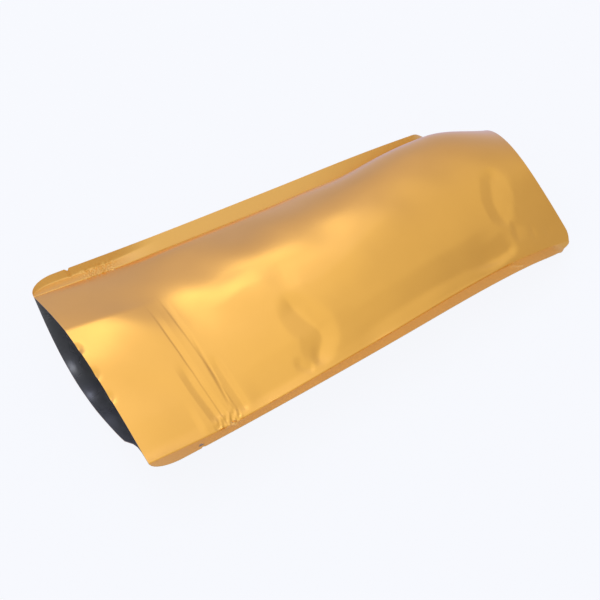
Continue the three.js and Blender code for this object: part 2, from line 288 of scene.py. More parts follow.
@dataclass(frozen=True)
class FarRoll:
    """The roll of the front panel along the far seal, highest a little way in from it."""

    height: float = 1.6
    share: float = 0.045
    starts_at: float = 45.0
    whole_from: float = 75.0
    whole_to: float = 130.0
    gone_at: float = 175.0

    def lift(self, station: np.ndarray, share: np.ndarray) -> np.ndarray:
        """Works out how far the roll lifts the panel.

        Args:
            station: Stations of the places.
            share: Shares of the places.

        Returns:
            The lift at each place.
        """
        rolled = smooth_step(self.starts_at, self.whole_from, station)
        left = 1 - smooth_step(self.whole_to, self.gone_at, station)
        from_seal = (1 - share) / self.share
        return self.height * rolled * left * from_seal * np.exp(1 - from_seal)


def seeded_ripples(
    station: np.ndarray,
    across: np.ndarray,
    seed: int,
    count: int,
    lengths: tuple[float, float],
    last_turn: float,
) -> np.ndarray:
    """Adds up ripples of one height that run in many ways.

    Args:
        station: Stations of the places.
        across: Distances of the places across the film.
        seed: Picks the ripples.
        count: How many there are.
        lengths: The shortest and the longest.
        last_turn: Their ways turn from 0 to this, in radians.

    Returns:
        The sum at each place, in heights of one ripple.
    """
    draw = np.random.default_rng(seed)
    total = np.zeros(np.broadcast(station, across).shape)
    for _ in range(count):
        length = draw.uniform(*lengths)
        turn = draw.uniform(0, last_turn)
        start = draw.uniform(0, 2 * np.pi)
        along = station * math.cos(turn) + across * math.sin(turn)
        total += np.sin(2 * np.pi * along / length + start)
    return total


@dataclass(frozen=True)
class FilmWaves:
    """Shallow waves of a film that nothing pulls quite tight, as a sum of seeded ripples."""

    seed: int = 11
    count: int = 14
    height: float = 0.05
    lengths: tuple[float, float] = (22.0, 60.0)

    def lift(self, station: np.ndarray, across: np.ndarray) -> np.ndarray:
        """Works out how far the waves lift the panel.

        Args:
            station: Stations of the places.
            across: Distances of the places from the middle line.

        Returns:
            The lift at each place.
        """
        return self.height * seeded_ripples(station, across, self.seed, self.count, self.lengths, 2 * np.pi)


ZIP_LINES = (
    Crease(wavering_line((40.4, 25), (42.6, -49.5), 3), 0.2, 3.0, 0.55, taper=0.35, rounding=0.1,
           last_taper=0.04),
    Crease(wavering_line((47.8, 25), (50.6, -47), 5), 0.12, 3.0, 0.6, rounding=0.1, last_taper=0.1),
    Crease(((50.8, -2), (50.2, -18), (48.2, -44)), 0.22, 0.9, 1.2, taper=0.3, rounding=0.1, last_taper=0.15),
    Crease(((53.4, -16), (53.6, -34), (54, -49.5)), 0.7, 2.0, 5.0, taper=0.3, last_taper=0.12),
    Crease(((38, -12), (38.2, -28), (39.8, -48)), 0.5, 5.0, 3.2, taper=0.3, last_taper=0.12),
    Crease(((35.5, -50.6), (38.5, -49.6), (41.5, -48.4), (45, -49.2), (48, -50.8)),
           0.35, 0.9, 1.6, taper=0.1),
)
DENTS = (
    Crease(((97.5, -8), (100, -18.5), (101.3, -23.2), (103, -28), (104.6, -32), (103.8, -36), (101, -38.8),
            (97.5, -42.2), (93.5, -47)),
           1.45, 9.0, 11.0, sharpness=1.15, rounding=0.6, swell=0.5, last_taper=0.2),
    Crease(((103.4, -36.5), (98.5, -41.6), (94.5, -46)), 0.3, 5.0, 3.5, taper=0.35, last_taper=0.35),
    Crease(((86, -38.5), (88.5, -43), (92.8, -46.8)), 0.5, 3.5, 3.0, taper=0.35, last_taper=0.15, swell=0.5),
    Crease(((234, -3), (226, -7.7), (221, -16.5), (219.5, -23.3), (222.5, -31)),
           0.75, 11.0, 6.2, taper=0.2, swell=0.4),
    Crease(((239, -1.4), (237, -11.5), (230, -21.4), (223, -30.3)), -0.3, 14.0, 10.0, taper=0.3),
    Crease(((225, -28), (222.6, -33), (220.8, -37.4)), 0.6, 5.5, 2.0, rounding=0.3, last_taper=0.3),
    Crease(((186, -38.6), (206, -39.2), (220, -37.2)), 1.5, 6.5, 3.5,
           taper=0.5, rounding=0.3, last_taper=0.2),
    Crease(((232.8, -32.5), (229.8, -39)), 0.35, 1.6, 1.4, taper=0.3, rounding=0.3),
    Crease(((237, -37.6), (243.5, -36.6)), 0.3, 1.4, 1.4, taper=0.3, rounding=0.3),
)
SOFT_FOLDS = (
    Crease(((99.5, -10.2), (106.5, -10.2), (115.5, -11.9), (121.5, -11.9), (131, -10.5), (147, -5.5),
            (164, -1), (182, 2)),
           -0.75, 14.0, 24.0, sharpness=1.15, taper=0.12, last_taper=0.5),
    Crease(((61, 4.8), (74.5, 2.1), (84.5, 4.4), (94, 2.1), (106, 0.1)), -0.3, 10.0, 12.0, taper=0.3),
    Crease(((-5, -45), (33, -45.4)), 0.5, 14.0, 5.0, taper=0.12),
    Crease(((54, -46.4), (90, -45.6), (132, -44.2)), 0.7, 14.0, 5.0, taper=0.15),
    Crease(((118, -43.6), (150, -41), (171, -39.4), (196, -38), (214, -36)), 1.3, 10.0, 7.5, taper=0.15),
)
LIP_CURL_HALF = 3.8
LIP_CURLS = tuple(
    Crease(((0, middle + LIP_CURL_HALF), (0, middle - LIP_CURL_HALF)), 1.0, 3.2, 1.0,
           sharpness=1.6, taper=0.5)
    for middle in (17.3, 1.3, -12.4)
)
PANEL_CREASES = ZIP_LINES + DENTS + SOFT_FOLDS + LIP_CURLS
NEAR_SEAL_CREASES = (Crease(((208.5, 0.4), (214.5, 7.0)), -0.5, 1.0, 1.0, taper=0.2, rounding=0.2),)
BACK_LIP_BUMPS = tuple(
    Crease(((-1.5, middle), (16, middle)), -height, 7.5, 7.5, sharpness=2.0, taper=0.45, rounding=3.0)
    for middle, height in ((25, 2.4), (7.5, 2.6), (-12, 2.2))
)


@dataclass(frozen=True)
class CrushedEnd:
    """A crushed patch at a side seal, where an end of the zip is melted flat into it.

    The patch reaches from inner, below zero in the panel, to outer on the seal, both measured from the fold.
    """

    side: Side
    at: float
    half_length: float
    inner: float
    outer: float
    seed: int
    height: float = 0.1
    lengths: tuple[float, float] = (1.3, 3.2)
    count: int = 12
    end_fade: float = 0.5
    side_fade: float = 0.4

    def lift(self, station: np.ndarray, width: np.ndarray) -> np.ndarray:
        """Works out how far the patch lifts the film.

        Args:
            station: Stations of the places.
            width: Distances of the places from the fold, below zero in the panel.

        Returns:
            The lift at each place.
        """
        lift = self.height * seeded_ripples(station, width, self.seed, self.count, self.lengths, np.pi)
        middle, half_width = (self.inner + self.outer) / 2, (self.outer - self.inner) / 2
        in_length = np.clip(1 - np.abs(station - self.at) / self.half_length, 0, 1)
        in_width = np.clip(1 - np.abs(width - middle) / half_width, 0, 1)
        return lift * smooth_step(0, self.end_fade, in_length) * smooth_step(0, self.side_fade, in_width)


CRUSHED_ENDS = (
    CrushedEnd(Side.NEAR, 44.5, 7.5, -6.5, 5.0, 21),
    CrushedEnd(Side.FAR, 35.0, 12.0, -2.0, 7.5, 22, height=0.075, lengths=(1.2, 2.6)),
)


@dataclass(frozen=True)
class PouchForm:
    """The rule of the pouch's shape: every place on its panels and side seals from its sizes."""

    length: float = 250.0
    seal_width: float = 8.5
    least_seal_width: float = 0.4
    wall: float = 0.25
    mouth_corner: float = 8.1
    mouth_corner_length: float = 14.0
    far_corner: float = 9.0
    near_corner_depth: float = 8.1
    near_corner_length: float = 24.0
    near_corner_pull: float = -2.0
    near_corner_share: float = 0.05
    near_corner_from: float = 240.0
    near_end_from: float = 233.0
    near_end_length: float = 12.0
    near_end_narrowing: float = 0.52
    near_bend_from: float = 234.0
    near_bend_length: float = 12.0
    near_bend_degrees: float = 57.0
    near_notch_at: float = 25.0
    far_notch_at: float = 21.0
    near_notch_depth: float = 0.9
    far_notch_depth: float = 1.3
    notch_half_width: float = 1.1
    gusset_fold_at: float = 211.0
    gusset_bend_length: float = 15.0
    gusset_bend_degrees: float = 66.0
    front_lip_pull: float = 1.6
    back_lip_pull: float = -2.3
    lip_pull_length: float = 47.0
    bottom_pull: float = -4.5
    bottom_pull_from: float = 165.0
    bond_length: float = 24.0
    bond_share: float = 0.05
    open_share: float = 0.2
    bond_gap: float = 0.4
    floor_blend: float = 1.5
    wave_fade: float = 0.05
    crease_fade: float = 0.012
    groove_depth: float = 0.22
    groove_share: float = 0.0035
    groove_width: float = 0.35
    near_fold_end: float = 213.0
    fold_end_length: float = 6.0
    far_bend_share: float = 0.66
    far_bend_dip: float = 2.6
    far_bend_rounding: float = 0.15
    far_bend_whole_to: float = 40.0
    far_bend_gone_at: float = 70.0
    header: HeaderBend = HeaderBend()
    roll: FarRoll = FarRoll()
    waves: FilmWaves = FilmWaves()

    def sizes(self, side: Side, station: np.ndarray) -> dict[str, np.ndarray]:
        """Reads one half of the cross section at any stations.

        Args:
            side: The half to read.
            station: The stations.

        Returns:
            Each size by name, one value a station.
        """
        places = np.array([section.at for section in SECTIONS], float)
        halves = [section.near if side is Side.NEAR else section.far for section in SECTIONS]
        read: dict[str, np.ndarray] = {}
        for size in fields(SideSizes):
            values = np.array([getattr(half, size.name) for half in halves], float)
            read[size.name] = monotone_curve(places, values, station)
        return read

    def pull(self, face: Face, station: np.ndarray, share: np.ndarray) -> np.ndarray:
        """Works out how far an end edge stands off a straight line: its middle, and its near bottom corner.

        Args:
            face: The panel.
            station: Stations of the places.
            share: Shares of the places.

        Returns:
            The shift along X at each place.
        """
        lip = self.front_lip_pull if face is Face.FRONT else self.back_lip_pull
        shift = lip * (1 - smooth_step(0, self.lip_pull_length, station))
        if face is Face.FRONT:
            shift = shift + self.bottom_pull * smooth_step(self.bottom_pull_from, self.length, station)
        corner = np.maximum(0, 1 - share / self.near_corner_share) ** 2
        corner = self.near_corner_pull * corner * smooth_step(self.near_corner_from, self.length, station)
        return 4 * share * (1 - share) * shift + corner

    def plain_panel(self, face: Face, station: np.ndarray, share: np.ndarray) -> np.ndarray:
        """Places a panel's smooth surface, before any relief.

        Args:
            face: The panel.
            station: Stations, a column.
            share: Shares, a row.

        Returns:
            A grid of places.
        """
        near, far = self.sizes(Side.NEAR, station[:, 0]), self.sizes(Side.FAR, station[:, 0])
        front = face is Face.FRONT
        drop = 0.0 if front else 2 * self.wall
        near_turn = np.radians(near["rise"] if front else -near["sag"])
        far_turn = np.radians(far["rise"] if front else -far["sag"])
        near_reach = near["reach"] if front else near["drop"]
        far_reach = far["reach"] if front else far["drop"]
        y = (-near["half"], near_reach * np.cos(near_turn) - near["half"],
             far["half"] - far_reach * np.cos(far_turn), far["half"])
        z = (near["up"] - drop, near["up"] - drop + near_reach * np.sin(near_turn),
             far["up"] - drop + far_reach * np.sin(far_turn), far["up"] - drop)
        rest = 1 - share
        weights = (rest**3, 3 * rest**2 * share, 3 * rest * share**2, share**3)
        across = sum(weight * value[:, None] for weight, value in zip(weights, y))
        height = sum(weight * value[:, None] for weight, value in zip(weights, z))
        x = station - self.length / 2 + self.pull(face, station, share)
        return np.stack(np.broadcast_arrays(x, across, height), axis=-1)

    def on_floor(self, height: np.ndarray) -> np.ndarray:
        """Eases heights on to the floor, flat where they would go under it."""
        eased = (height + self.floor_blend) ** 2 / (4 * self.floor_blend)
        return np.where(np.abs(height) < self.floor_blend, eased, np.maximum(0, height))

    def panel(self, face: Face, stations: np.ndarray, shares: np.ndarray) -> np.ndarray:
        """Places a panel's outer surface.

        Args:
            face: The panel.
            stations: The stations of the grid.
            shares: The shares of the grid.

        Returns:
            A grid of places, stations by shares.
        """
        station, share = stations[:, None], shares[None, :]
        places = self.plain_panel(face, station, share)
        grid_station, grid_share = np.broadcast_arrays(station, share)
        across = places[..., 1].copy()
        in_from_fold = np.minimum(share, 1 - share)
        creases = PANEL_CREASES if face is Face.FRONT else BACK_LIP_BUMPS
        pressed = sum(crease.height(grid_station, across) for crease in creases)
        places[..., 2] += pressed * smooth_step(0, self.crease_fade, in_from_fold)
        if face is Face.FRONT:
            waves = self.waves.lift(grid_station, across) * smooth_step(0, self.wave_fade, in_from_fold)
            places[..., 2] += self.header.lift(grid_station, grid_share) + waves
            places[..., 2] += self.roll.lift(grid_station, grid_share)
            places[..., 2] += self.crushed(grid_station, across)
        groove = self.groove_depth * np.maximum(0, 1 - in_from_fold / self.groove_share)
        places[..., 2] -= groove * np.where(share < 0.5, self.fold_left(Side.NEAR, station), 1.0)
        if face is Face.FRONT:
            return places
        places[..., 2] = self.on_floor(places[..., 2])
        bond = (1 - smooth_step(self.bond_share, self.open_share, share)) * (
            1 - smooth_step(0, self.bond_length, station)
        )
        held = self.panel(Face.FRONT, stations, shares)
        held[..., 2] -= 2 * self.wall + self.bond_gap * np.minimum(1, share / self.bond_share)
        return places + (held - places) * bond[..., None]

    def fold_left(self, side: Side, station: np.ndarray) -> np.ndarray:
        """Works out how much of a seal's fold line is left; the near one ends before the bottom."""
        if side is Side.FAR:
            return np.ones(station.shape)
        return 1 - smooth_step(self.near_fold_end - self.fold_end_length, self.near_fold_end, station)

    def crushed(self, station: np.ndarray, across: np.ndarray) -> np.ndarray:
        """Works out how far the crushed patches lift the front panel.

        Args:
            station: Stations of the places, one a row.
            across: Distances of the places from the middle line.

        Returns:
            The lift at each place.
        """
        lift = np.zeros(station.shape)
        for patch in CRUSHED_ENDS:
            half = self.sizes(patch.side, station[:, 0])["half"][:, None]
            lift += patch.lift(station, patch.side.value * across - half)
        return lift

    def seal_widths(self, side: Side, stations: np.ndarray) -> np.ndarray:
        """Works out a side seal's width with its rounded corners and its tear notch.

        Args:
            side: The seal.
            stations: The stations to work out.

        Returns:
            The width at each station.
        """
        near = side is Side.NEAR
        corner_length = self.near_corner_length if near else self.far_corner
        corner_depth = self.near_corner_depth if near else self.far_corner
        into_mouth = np.maximum(0, 1 - stations / self.mouth_corner_length)
        into_bottom = np.maximum(0, 1 - (self.length - stations) / corner_length)
        width = self.seal_width - self.mouth_corner * (1 - np.sqrt(1 - into_mouth**2))
        width -= corner_depth * (1 - np.sqrt(1 - into_bottom**2))
        if near:
            into_end = smooth_step(self.near_end_from, self.near_end_from + self.near_end_length, stations)
            width *= 1 - self.near_end_narrowing * into_end
        notch_at = self.near_notch_at if near else self.far_notch_at
        depth = self.near_notch_depth if near else self.far_notch_depth
        width -= depth * np.maximum(0, 1 - np.abs(stations - notch_at) / self.notch_half_width)
        return np.maximum(width, self.least_seal_width)

    def far_bend(self, station: np.ndarray, share: np.ndarray) -> np.ndarray:
        """Works out the bend along the far seal near the mouth, where its inner part follows the panel.

        Args:
            station: Stations of the places.
            share: Shares of the seal's width, from the fold to its outer edge.

        Returns:
            How far the bend lowers each place.
        """
        inner = share / self.far_bend_share
        outer = (1 - share) / (1 - self.far_bend_share)
        dipped = 0.5 * (inner + outer - np.hypot(inner - outer, self.far_bend_rounding))
        fade = 1 - smooth_step(self.far_bend_whole_to, self.far_bend_gone_at, station)
        narrowed = self.seal_widths(Side.FAR, station) / self.seal_width
        return self.far_bend_dip * dipped * fade * narrowed

    def seal(self, side: Side, face: Face, stations: np.ndarray, shares: np.ndarray) -> np.ndarray:
        """Places one face of a side seal.

        Args:
            side: The seal.
            face: Its upper or lower face.
            stations: The stations of the grid.
            shares: Shares of the seal's width, from the fold to its outer edge.

        Returns:
            A grid of places, stations by shares.
        """
        fold_share = np.array([0.0 if side is Side.NEAR else 1.0])
        fold = self.plain_panel(Face.FRONT, stations[:, None], fold_share[None, :])
        far = side is Side.FAR
        start = self.gusset_fold_at if far else self.near_bend_from
        length = self.gusset_bend_length if far else self.near_bend_length
        degrees = self.gusset_bend_degrees if far else self.near_bend_degrees
        bend = degrees * smooth_step(start, start + length, stations)
        tilt = np.radians(self.sizes(side, stations)["tilt"] - bend)[:, None]
        width = self.seal_widths(side, stations)[:, None] * shares[None, :]
        places = np.repeat(fold, len(shares), axis=1)
        places[..., 1] += side.value * width * np.cos(tilt)
        places[..., 2] += width * np.sin(tilt)
        groove = self.groove_depth * np.maximum(0, 1 - width / self.groove_width)
        places[..., 2] -= groove * self.fold_left(side, stations[:, None])
        if side is Side.FAR:
            places[..., 2] -= self.far_bend(stations[:, None], shares[None, :])
        for patch in CRUSHED_ENDS:
            if patch.side is side:
                places[..., 2] += patch.lift(stations[:, None], width)
        if side is Side.NEAR:
            grid_station, grid_width = np.broadcast_arrays(stations[:, None], width)
            for crease in NEAR_SEAL_CREASES:
                places[..., 2] += crease.height(grid_station, grid_width)
        if face is Face.BACK:
            places[..., 2] -= 2 * self.wall
        return places


@dataclass(frozen=True)
class FilmGrid:
    """How finely the film is divided along and across."""

    across_front: int = 84
    across_back: int = 32
    fold_shares: tuple[float, ...] = (0.0, 0.0035, 0.008)
    seal_spans: tuple[tuple[float, float, int], ...] = (
        (0.02, 0.041, 2), (0.08, 0.56, 6), (0.58, 0.74, 7), (0.79, 1.0, 4),
    )
    spans: tuple[tuple[float, float, float], ...] = (
        (0, 3, 0.25), (3, 19, 0.9), (19, 52, 0.35), (52, 56, 0.5), (56, 84, 1.4), (84, 108, 0.8),
        (108, 208, 1.7), (208, 244, 0.8), (244, 250, 0.4),
    )
    least_step: float = 0.1

    @property
    def across_seal(self) -> int:
        """How many places lie across a side seal."""
        return sum(count for _, _, count in self.seal_spans)

    def seal_shares(self) -> np.ndarray:
        """Lists the shares across a side seal, from its fold to its outer edge."""
        return np.concatenate([np.linspace(start, end, count) for start, end, count in self.seal_spans])

    def stations(self, until: float) -> np.ndarray:
        """Lists the stations from the mouth to a last one."""
        every = np.concatenate([
            np.linspace(start, end, round((end - start) / step), endpoint=False)
            for start, end, step in self.spans
        ])
        return np.append(every[every < until - self.least_step], until)


class Gold(Enum):
    """The two tones between which the gold film drifts, and the paler tone of its heat-sealed bands, partly
    their own tone and partly a painted whitish sheen.
    """

    LIGHT = (0.90, 0.495, 0.078, 1.0)
    DEEP = (0.85, 0.46, 0.07, 1.0)
    # Paler gold on the heat-sealed bands: partly their own tone, partly a painted whitish sheen.
    SEALED = (0.87, 0.54, 0.12, 1.0)


def add_node(tree: bpy.types.NodeTree, kind: str, **settings: object) -> bpy.types.Node:
    """Adds a node and sets it up.

    Args:
        tree: The tree that gets it.
        kind: The node's type name.
        **settings: Values for the node's own properties.

    Returns:
        The new node.
    """
    node = tree.nodes.new(kind)
    for name, value in settings.items():
        setattr(node, name, value)
    return node


def plain_material(name: str) -> tuple[bpy.types.Material, bpy.types.NodeTree, bpy.types.Node]:
    """Makes a material with one shader.

    Args:
        name: The material's name.

    Returns:
        The material, its tree and its shader node.
    """
    material = bpy.data.materials.new(name)
    material.use_nodes = True
    return material, material.node_tree, material.node_tree.nodes["Principled BSDF"]


def add_noise(tree: bpy.types.NodeTree, scale: float, detail: float) -> bpy.types.NodeSocket:
    """Adds noise that is fixed to the piece.

    Args:
        tree: The material's tree.
        scale: Waves in a metre.
        detail: How many finer waves lie on them.

    Returns:
        The noise's value socket.
    """
    place = add_node(tree, "ShaderNodeTexCoord")
    noise = add_node(tree, "ShaderNodeTexNoise")
    noise.inputs["Scale"].default_value = scale
    noise.inputs["Detail"].default_value = detail
    tree.links.new(place.outputs["Object"], noise.inputs["Vector"])
    return noise.outputs["Fac"]


def add_range(
    tree: bpy.types.NodeTree, value: bpy.types.NodeSocket, low: float, high: float
) -> bpy.types.NodeSocket:
    """Maps the middle of a noise on to a range of values.

    Args:
        tree: The material's tree.
        value: The noise's value.
        low: The value where the noise is low.
        high: The value where it is high.

    Returns:
        The mapped value's socket.
    """
    spread = add_node(tree, "ShaderNodeMapRange")
    spread.inputs["From Min"].default_value, spread.inputs["From Max"].default_value = NOISE_RANGE
    spread.inputs["To Min"].default_value = low
    spread.inputs["To Max"].default_value = high
    tree.links.new(value, spread.inputs["Value"])
    return spread.outputs["Result"]


def add_step(
    tree: bpy.types.NodeTree, value: bpy.types.NodeSocket, ease: tuple[float, float]
) -> bpy.types.NodeSocket:
    """Eases a value from 0 to 1.

    Args:
        tree: The tree that gets the node.
        value: The value.
        ease: Where the ease starts and where it ends.

    Returns:
        The eased value's socket.
    """
    step = add_node(tree, "ShaderNodeMapRange", interpolation_type="SMOOTHSTEP")
    step.inputs["From Min"].default_value, step.inputs["From Max"].default_value = ease
    tree.links.new(value, step.inputs["Value"])
    return step.outputs["Result"]


def add_blend(
    tree: bpy.types.NodeTree, share: bpy.types.NodeSocket, *tones: Tone | bpy.types.NodeSocket
) -> bpy.types.NodeSocket:
    """Blends two tones.

    Args:
        tree: The tree that gets the node.
        share: How much of the second tone shows.
        *tones: The two tones, each a colour or a socket that gives one.

    Returns:
        The blended colour's socket.
    """
    blend = add_node(tree, "ShaderNodeMix", data_type="RGBA")
    tree.links.new(share, blend.inputs["Factor"])
    for socket, tone in zip([socket for socket in blend.inputs if socket.type == "RGBA"], tones):
        if isinstance(tone, bpy.types.NodeSocket):
            tree.links.new(tone, socket)
        else:
            socket.default_value = tone
    return next(socket for socket in blend.outputs if socket.type == "RGBA")


def add_bump(
    tree: bpy.types.NodeTree, value: bpy.types.NodeSocket, depth: float, strength: float
) -> bpy.types.NodeSocket:
    """Makes a fine bump of a noise.

    Args:
        tree: The material's tree.
        value: The noise's value.
        depth: The bump's height in metres.
        strength: How much of it shows.

    Returns:
        The bumped normal's socket.
    """
    bump = add_node(tree, "ShaderNodeBump")
    bump.inputs["Strength"].default_value = strength
    bump.inputs["Distance"].default_value = depth
    tree.links.new(value, bump.inputs["Height"])
    return bump.outputs["Normal"]


@dataclass(frozen=True)
class GoldFilmFinish:
    """Satin gold metallised film under a clear outer layer."""

    metallic: float = 1.0
    smoothest: float = 0.29
    roughest: float = 0.34
    sealed_roughness: float = 0.62
    coat: float = 1.0
    coat_roughness: float = 0.4
    drift_scale: float = 30.0
    grain_scale: float = 900.0
    grain_depth: float = 0.00006
    grain_strength: float = 0.12

    def material(self) -> bpy.types.Material:
        """Makes the film's material."""
        material, tree, shader = plain_material("gold_film")
        drift = add_noise(tree, self.drift_scale, DRIFT_DETAIL)
        drifted = add_blend(tree, add_range(tree, drift, 0.0, 1.0), Gold.DEEP.value, Gold.LIGHT.value)
        on_seal = add_node(tree, "ShaderNodeAttribute", attribute_name=SEALED)
        # The heat-sealed bands take the paler gold: partly their own tone, partly a painted whitish sheen.
        colour = add_blend(tree, on_seal.outputs["Fac"], drifted, Gold.SEALED.value)
        tree.links.new(colour, shader.inputs["Base Color"])
        rough = add_node(tree, "ShaderNodeMix", data_type="FLOAT")
        rough.inputs["B"].default_value = self.sealed_roughness
        tree.links.new(on_seal.outputs["Fac"], rough.inputs["Factor"])
        tree.links.new(add_range(tree, drift, self.smoothest, self.roughest), rough.inputs["A"])
        tree.links.new(rough.outputs["Result"], shader.inputs["Roughness"])
        grain = add_noise(tree, self.grain_scale, GRAIN_DETAIL)
        normal = add_bump(tree, grain, self.grain_depth, self.grain_strength)
        tree.links.new(normal, shader.inputs["Normal"])
        shader.inputs["Metallic"].default_value = self.metallic
        shader.inputs["Coat Weight"].default_value = self.coat
        shader.inputs["Coat Roughness"].default_value = self.coat_roughness
        return material


@dataclass(frozen=True)
class LiningFinish:
    """Dark grey sealing layer on the inside of the film."""

    colour: Tone = (0.285, 0.305, 0.325, 1.0)
    metallic: float = 0.6
    smoothest: float = 0.24
    roughest: float = 0.34
    drift_scale: float = 45.0

    def material(self) -> bpy.types.Material:
        """Makes the lining's material."""
        material, tree, shader = plain_material("pouch_lining")
        drift = add_noise(tree, self.drift_scale, DRIFT_DETAIL)
        tree.links.new(add_range(tree, drift, self.smoothest, self.roughest), shader.inputs["Roughness"])
        shader.inputs["Base Color"].default_value = self.colour
        shader.inputs["Metallic"].default_value = self.metallic
        return material


@dataclass(frozen=True)
class ZipFinish:
    """Milky plastic of the zip's strips."""

    colour: Tone = (0.72, 0.71, 0.67, 1.0)
    smoothest: float = 0.34
    roughest: float = 0.46
    grain_scale: float = 500.0

    def material(self) -> bpy.types.Material:
        """Makes the zip's material."""
        material, tree, shader = plain_material("zip_plastic")
        grain = add_noise(tree, self.grain_scale, GRAIN_DETAIL)
        tree.links.new(add_range(tree, grain, self.smoothest, self.roughest), shader.inputs["Roughness"])
        shader.inputs["Base Color"].default_value = self.colour
        return material


def row_frame(places: np.ndarray) -> np.ndarray:
    """Moves places from the pouch's own middle line to the frame's origin, in metres."""
    return (places + np.array(FRAME_SHIFT)) * MM


def tube_faces(rings: int, count: int) -> np.ndarray:
    """Lists the faces between rings of places.

    Args:
        rings: How many rings there are.
        count: Places in a ring.

    Returns:
        Four place numbers for each face.
    """
    here = (np.arange(rings - 1) * count)[:, None] + np.arange(count)[None, :]
    following = (np.arange(rings - 1) * count)[:, None] + (np.arange(count) + 1)[None, :] % count
    return np.stack([here, here + count, following + count, following], axis=-1).reshape(-1, 4)


def vertex_normals(places: np.ndarray, faces: np.ndarray) -> np.ndarray:
    """Works out outward directions at places from the faces round them.

    Args:
        places: All places.
        faces: Four place numbers for each face.

    Returns:
        A unit direction for each place.
    """
    a, b, c, d = (places[faces[:, i]] for i in range(4))
    normal = np.cross(c - a, d - b)
    total = np.zeros(places.shape)
    for i in range(4):
        np.add.at(total, faces[:, i], normal)
    return total / np.maximum(np.linalg.norm(total, axis=1, keepdims=True), LEAST_LENGTH)


def make_object(name: str, mesh: bpy.types.Mesh) -> bpy.types.Object:
    """Puts a mesh in the scene as an object at the origin."""
    made = bpy.data.objects.new(name, mesh)
    bpy.context.scene.collection.objects.link(made)
    return made


def closed_mesh(
    name: str, places: np.ndarray, faces: list[tuple[int, ...]], sharp: float, sealed: np.ndarray
) -> bpy.types.Mesh:
    """Makes a closed mesh of places and faces, with doubles merged and faces turned outwards.

    Args:
        name: The mesh's name.
        places: Places in the row frame, in metres.
        faces: Place numbers of each face.
        sharp: Edges that turn by more than this many degrees are drawn sharp.
        sealed: 1 for each place on a heat-sealed band, else 0.

    Returns:
        The mesh.
    """
    mesh = bpy.data.meshes.new(name)
    mesh.from_pydata(places.tolist(), [], faces)
    mesh.attributes.new(SEALED, "FLOAT", "POINT").data.foreach_set("value", sealed.astype(np.float32))
    work = bmesh.new()
    work.from_mesh(mesh)
    bmesh.ops.remove_doubles(work, verts=work.verts, dist=MERGE_DISTANCE)
    bmesh.ops.dissolve_degenerate(work, edges=work.edges, dist=EMPTY_DISTANCE)
    bmesh.ops.recalc_face_normals(work, faces=work.faces)
    work.to_mesh(mesh)
    work.free()
    mesh.shade_smooth()
    mesh.set_sharp_from_angle(angle=math.radians(sharp))
    return mesh


